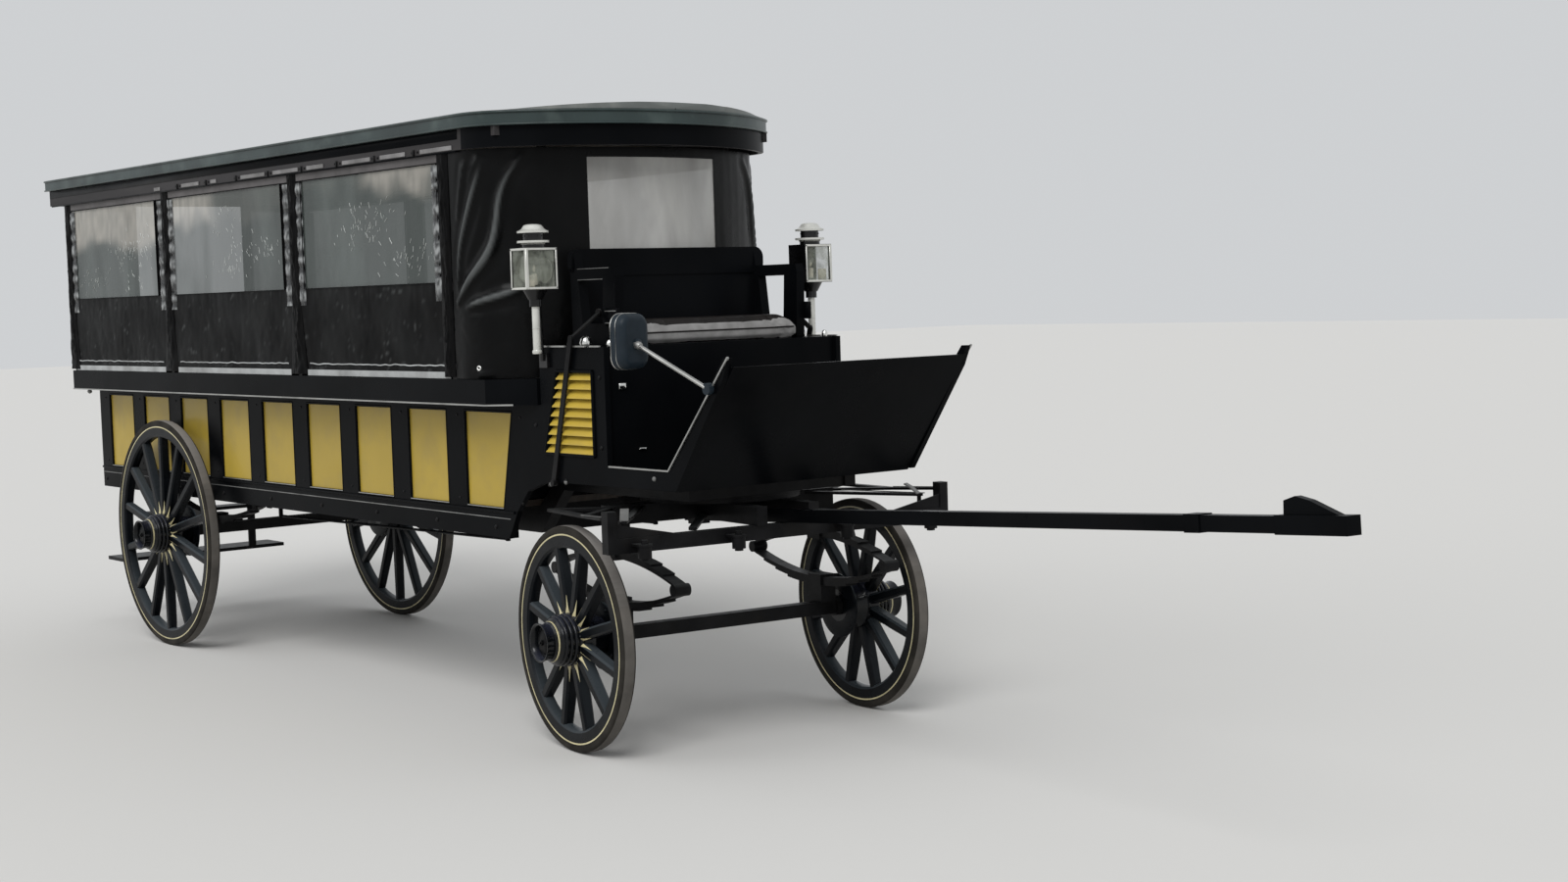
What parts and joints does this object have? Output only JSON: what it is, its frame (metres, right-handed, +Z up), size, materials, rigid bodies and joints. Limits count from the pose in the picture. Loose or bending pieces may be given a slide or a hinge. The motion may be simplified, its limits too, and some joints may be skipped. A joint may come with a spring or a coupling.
{
  "type": "horse-drawn charabanc",
  "caption": "Covered horse-drawn charabanc: long black and yellow body with inward benches, canvas roof, clear curtains, driver's box, turning fore-carriage, spoked wheels and a pole.",
  "frame": {"origin": "on the ground under the middle of the overall length, on the body's middle plane", "axes": "+X forward along the body, +Y to the carriage's left, +Z up"},
  "size_m": [7.9388, 1.5544, 2.352],
  "materials": {
    "frame_black": "satin black paint on iron",
    "body_black": "gloss black coach paint on wood",
    "panel_yellow": "gloss yellow coach paint on wood",
    "floor_wood": "worn varnish",
    "roof_cover": "painted canvas",
    "roof_edge": "gloss grey-green paint",
    "curtain_vinyl": "black vinyl",
    "clear_vinyl": "clear vinyl, worn",
    "cushion": "dark hide",
    "lamp_black": "gloss black",
    "lamp_glass": "clear",
    "bright_metal": "polished",
    "mirror_case": "black",
    "wheel_black": "gloss black coach paint",
    "tyre_rubber": "solid grey-black rubber"
  },
  "bodies": {
    "carriage": {"underframe": "frame_black", "turntable_upper": "frame_black", "floor_boards": "floor_wood", "side_frames": "body_black", "side_panels": "panel_yellow", "seat_boards": "body_black", "front_bulkhead": "body_black", "rear_wall": "body_black", "roof_deck": "roof_cover", "roof_rim": "roof_edge", "canopy_frame": "body_black", "side_curtains": "curtain_vinyl", "front_curtain": "curtain_vinyl", "rear_curtains": "curtain_vinyl", "window_panes": "clear_vinyl", "passenger_cushions": "cushion", "driver_boot": "body_black", "boot_louvres": "panel_yellow", "driver_bench": "body_black", "bench_irons": "frame_black", "driver_cushion": "cushion", "lamp_housings": "lamp_black", "lamp_glass": "lamp_glass", "lamp_fittings": "bright_metal", "mirror": "mirror_case", "rear_axle": "frame_black", "rear_springs": "frame_black", "rear_step": "frame_black"},
    "rear_door": {"rear_door": "body_black"},
    "forecarriage": {"turntable_lower": "frame_black", "forecarriage_frame": "frame_black", "front_springs": "frame_black", "front_axle": "frame_black", "splinter_bar": "body_black", "pole": "body_black"},
    "rear_wheel_right_body": {"rear_wheel_right": "wheel_black", "rear_tyre_right": "tyre_rubber"},
    "rear_wheel_left_body": {"rear_wheel_left": "wheel_black", "rear_tyre_left": "tyre_rubber"},
    "front_wheel_right_body": {"front_wheel_right": "wheel_black", "front_tyre_right": "tyre_rubber"},
    "front_wheel_left_body": {"front_wheel_left": "wheel_black", "front_tyre_left": "tyre_rubber"}
  },
  "joints": [
    {"name": "rear_wheel_left_spin", "type": "hinge", "parent": "carriage", "child": "rear_wheel_left_body", "pos_m": [-2.75943, 0, 0.55], "axis": [0, 1, 0], "continuous": true},
    {"name": "rear_wheel_right_spin", "type": "hinge", "parent": "carriage", "child": "rear_wheel_right_body", "pos_m": [-2.75943, 0, 0.55], "axis": [0, 1, 0], "continuous": true},
    {"name": "steer", "type": "hinge", "parent": "carriage", "child": "forecarriage", "pos_m": [0.89057, 0, 0.884], "axis": [0, 0, 1], "range_deg": [-29.1, 40.9]},
    {"name": "front_wheel_left_spin", "type": "hinge", "parent": "forecarriage", "child": "front_wheel_left_body", "pos_m": [0.89057, 0, 0.409], "axis": [0.1028, 0.9947, 0], "continuous": true},
    {"name": "front_wheel_right_spin", "type": "hinge", "parent": "forecarriage", "child": "front_wheel_right_body", "pos_m": [0.89057, 0, 0.409], "axis": [0.1028, 0.9947, 0], "continuous": true},
    {"name": "rear_door_swing", "type": "hinge", "parent": "carriage", "child": "rear_door", "pos_m": [-3.76743, 0.272, 1.064], "axis": [0, 0, -1], "range_deg": [0, 100]}
  ]
}
